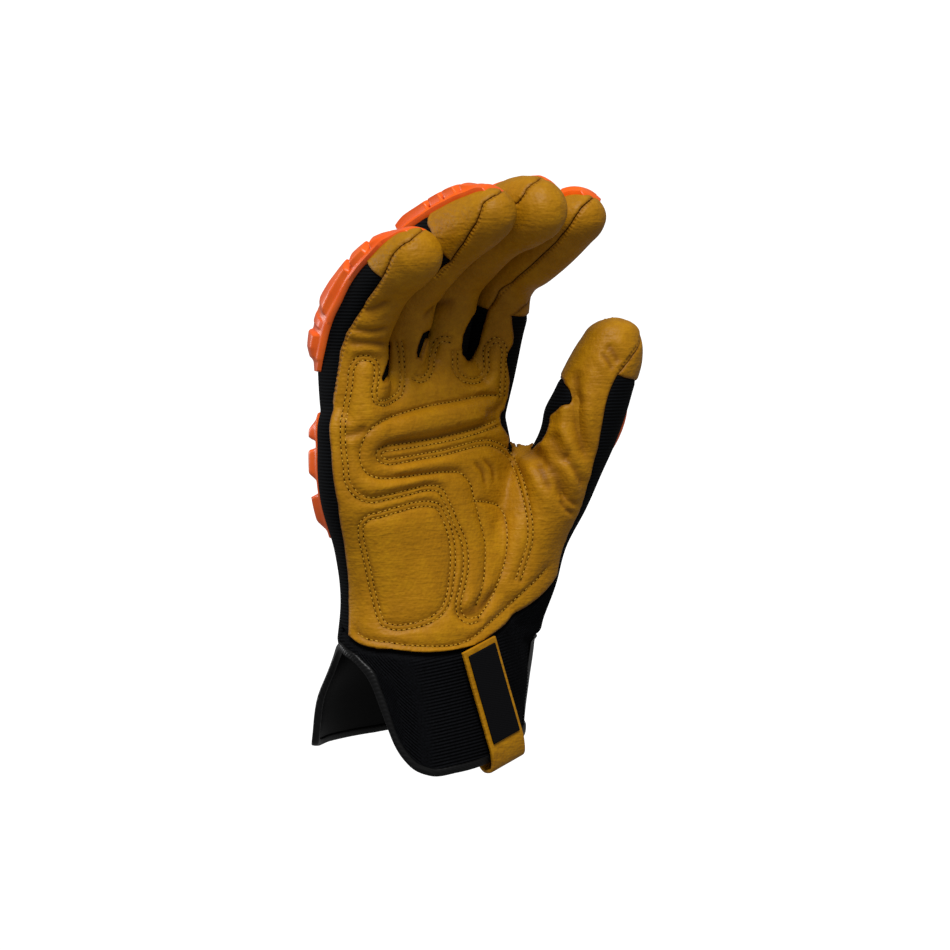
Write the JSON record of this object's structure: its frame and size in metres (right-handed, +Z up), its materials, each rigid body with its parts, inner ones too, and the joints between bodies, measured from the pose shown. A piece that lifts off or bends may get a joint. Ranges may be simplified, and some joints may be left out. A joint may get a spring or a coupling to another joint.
{
  "type": "work glove",
  "caption": "Right-hand mechanic's work glove: padded leather palm, black knit back, moulded rubber guards along the fingers, and a notched ribbed cuff with a leather pull tab.",
  "frame": {"origin": "middle of the cuff's mouth, level with its lowest hem", "axes": "+Z up the forearm towards the fingertips, -Y the way the palm faces, +X the thumb's side"},
  "size_m": [0.1324, 0.1066, 0.2355],
  "materials": {
    "leather": "soft grained glove leather, golden tan",
    "rib_knit": "ribbed stretch knit, black",
    "back_knit": "stretch knit, black",
    "cuff_satin": "smooth satin-weave cloth, black",
    "binding": "satin binding tape, black",
    "rubber": "moulded thermoplastic rubber, orange",
    "patch": "woven patch, black, left bare"
  },
  "bodies": {
    "root": {"palm_leather": "leather", "cap_index": "leather", "cap_middle": "leather", "cap_ring": "leather", "cap_pinky": "leather", "cap_thumb": "leather", "pull_tab": "leather", "wrist_cuff": "rib_knit", "back_knit": "back_knit", "cuff_back": "cuff_satin", "cuff_binding": "binding", "guard_index": "rubber", "guard_middle": "rubber", "guard_ring": "rubber", "guard_pinky": "rubber", "guard_back": "rubber", "guard_thumb": "rubber", "label": "patch"}
  },
  "joints": []
}
